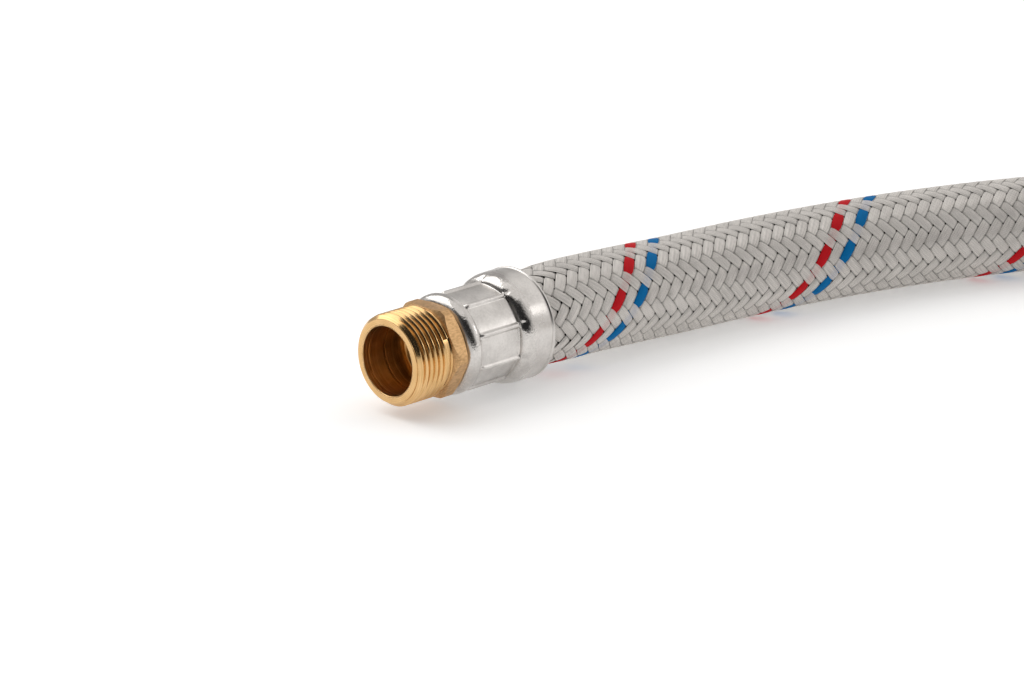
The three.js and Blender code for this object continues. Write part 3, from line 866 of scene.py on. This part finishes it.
nut_stem = joined(
    "nut_stem",
    nut_place,
    turned(
        [
            (FLANGE_FRONT, STEM_BORE, 0.0003),
            (FLANGE_FRONT, FLANGE_RADIUS, 0.0003),
            (FLANGE_BACK, FLANGE_RADIUS, 0.0003),
            (FLANGE_BACK, NECK_RADIUS, 0.0),
            (NUT_NECK_END, NECK_RADIUS, 0.0),
            (NUT_NECK_END, STEM_RADIUS, 0.0),
            (NUT_STEM_END, STEM_TIP_RADIUS, 0.0003),
            (NUT_STEM_END, STEM_BORE, 0.0002),
        ]
    ),
)
nut_brass = turned_brass("nut_turned_brass", nut_place)
nut_stem.data.materials.append(nut_brass)
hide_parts("nut_end_stem")
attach(nut_stem, "hose")


def fibre_finish():
    """Pressed fibre sheet: matt, blue-green, with short pale fibres."""
    material, shader, nodes = finish("gasket_fibre", Metallic=0.0)
    fibres = nodes.spot().noise(1500.0, 4.0)
    colour = fibres.mix(FIBRE_DARK, FIBRE_PALE)
    drive(shader, nodes, Base_Color=colour, Roughness=0.75 + fibres * 0.2, Normal=fibres.bump(0.4, 0.0001))
    return material


gasket = joined(
    "sealing_washer",
    nut_place,
    turned(
        [
            (GASKET_FRONT, GASKET_BORE, 0.0002),
            (GASKET_FRONT, FLANGE_RADIUS, 0.0002),
            (GASKET_BACK, FLANGE_RADIUS, 0.0002),
            (GASKET_BACK, GASKET_BORE, 0.0002),
        ]
    ),
)
gasket.data.materials.append(fibre_finish())
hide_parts("nut_gasket")
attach(gasket, "hose")

# Swivel nut
# A hexagon nut of the same brass, with the female thread that fits a male one like that of the other end.
# It turns freely on the stem and can't come off, because its rear lip is smaller than the flange.
NUT_FLATS = 0.030
NUT_CORNERS = 0.0324
NUT_HOLE = 0.0136
LINING_RADIUS = 0.0140
FACE_COVER = 0.00002
SOCKET_RADIUS = 0.0121
SOCKET_RELIEF = 0.0131
SOCKET_DEPTH = 0.0145
SOCKET_MOUTH = 0.0134
LIP_BORE = 0.01095
FEMALE_ROOT = 0.01325
FEMALE_TURNS = 5
FEMALE_START = 0.0001
FEMALE_END = 0.0092

nut_hexagon = hexagon(NUT_FLATS, NUT_CORNERS, NUT_LENGTH, NUT_HOLE)
nut_lining = turned(
    [
        (FACE_COVER, LINING_RADIUS, 0.0),
        (FACE_COVER, SOCKET_MOUTH, 0.0),
        (0.0012, FEMALE_ROOT - ROOT_COVER, 0.0),
        (FEMALE_END, FEMALE_ROOT - ROOT_COVER, 0.0),
        (FEMALE_END + 0.0004, SOCKET_RELIEF, 0.0),
        (SOCKET_DEPTH, SOCKET_RELIEF, 0.0002),
        (SOCKET_DEPTH, LIP_BORE, 0.0002),
        (NUT_LENGTH - FACE_COVER, LIP_BORE, 0.0002),
        (NUT_LENGTH - FACE_COVER, LINING_RADIUS, 0.0),
    ]
)
FEMALE_SECTION = [
    (-HALF_PITCH, FEMALE_ROOT + RIDGE_FOOT),
    (-HALF_PITCH, FEMALE_ROOT),
    (-0.00020, SOCKET_RADIUS + 0.00010),
    (0.0, SOCKET_RADIUS),
    (0.00020, SOCKET_RADIUS + 0.00010),
    (HALF_PITCH, FEMALE_ROOT),
    (HALF_PITCH, FEMALE_ROOT + RIDGE_FOOT),
]
nut_ridge = thread_ridge(FEMALE_SECTION, FEMALE_START, FEMALE_TURNS, 0.0)
for point in nut_ridge.verts:
    station = max(point.co.x, 0.0002)
    radius = hypot(point.co.y, point.co.z)
    opened = max(1.0, (SOCKET_MOUTH - station) / radius)
    point.co = (station, point.co.y * opened, point.co.z * opened)
swivel_nut = joined("brass_swivel_nut", nut_place, nut_lining, nut_ridge, nut_hexagon)
for material in (nut_brass, nut_brass, satin_brass("nut_satin_brass", nut_place)):
    swivel_nut.data.materials.append(material)
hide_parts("swivel_nut")
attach(swivel_nut, "nut")

# Floor
# A seamless pale sheet that the hose lies on, lit a little from below so that its shadows stay pale. It isn't
# part of the object.
FLOOR_HALF_WIDTH = 4.0
FLOOR_DARK = (0.92, 0.92, 0.92, 1)
FLOOR_PALE = (0.94, 0.94, 0.94, 1)
FLOOR_GLOW = {"Emission_Color": (1, 1, 1, 1), "Emission_Strength": 0.3}

sheet = bmesh.new()
bmesh.ops.create_grid(sheet, x_segments=1, y_segments=1, size=FLOOR_HALF_WIDTH)
floor = mesh_object("floor", sheet)
floor_material, floor_shader, floor_nodes = finish(
    "pale_floor", Roughness=0.6, Specular_IOR_Level=0.15, **FLOOR_GLOW
)
floor_colour = floor_nodes.spot().noise(60.0, 2.0).mix(FLOOR_DARK, FLOOR_PALE)
drive(floor_shader, floor_nodes, Base_Color=floor_colour)
floor.data.materials.append(floor_material)

# Light
# A broad softbox high at the left, behind the hose, gives the highlights and the shadows, and a small one
# at the right a glint. The room is pale at the back, at the right and above, and dark on the camera's side.
ROOM_DARK = (0.03, 0.03, 0.03, 1)
ROOM_PALE = (1.0, 0.985, 0.97, 1)
BACK_SHARE = 0.5
RIGHT_SHARE = 0.92
CEILING_SHARE = 1.7
lit_spot = male_face + Vector((0.06, 0.0, 0.0))


def seen_from(azimuth, elevation):
    """The direction at an angle to the right of the camera's heading, and above the floor."""
    heading = CAMERA_HEADING - radians(azimuth)
    rise = radians(elevation)
    return Vector((cos(heading) * cos(rise), sin(heading) * cos(rise), sin(rise)))


def softbox(name, azimuth, elevation, distance, size, power):
    """An area light in that direction, aimed at the hose's end."""
    data = bpy.data.lights.new(name, "AREA")
    data.shape = "RECTANGLE"
    data.size, data.size_y = size
    data.energy = power
    light = bpy.data.objects.new(name, data)
    away = seen_from(azimuth, elevation)
    light.location = lit_spot + away * distance
    light.rotation_euler = away.to_track_quat("Z", "Y").to_euler()
    bpy.context.scene.collection.objects.link(light)


softbox("left_light", -66.0, 46.0, 2.0, (2.2, 1.8), 24.0)
softbox("right_light", 88.0, 26.0, 1.0, (0.22, 0.22), 0.3)

world = bpy.data.worlds.new("studio_room")
world.use_nodes = True
room = Signal(world.node_tree)
way = room.node("ShaderNodeTexCoord", (), (), "Generated")


def towards(azimuth, elevation):
    """How far a way into the room points in that direction, from 1 to -1."""
    goal = seen_from(azimuth, elevation)
    return room.node("ShaderNodeVectorMath", {"operation": "DOT_PRODUCT"}, {0: way, 1: goal}, "Value")


back = towards(15.0, 0.0).between(-0.2, 0.2) * BACK_SHARE
right = towards(65.0, 20.0).between(0.3, 0.8) * RIGHT_SHARE
ceiling = way.part("Z").between(0.86, 0.94) * CEILING_SHARE
tone = room.maths("MAXIMUM", room.maths("MAXIMUM", back, right), ceiling)
room_colour = tone.mix(ROOM_DARK, ROOM_PALE)
world.node_tree.links.new(room_colour.socket, world.node_tree.nodes["Background"].inputs["Color"])
bpy.context.scene.world = world
bpy.context.scene.view_settings.view_transform = "Standard"
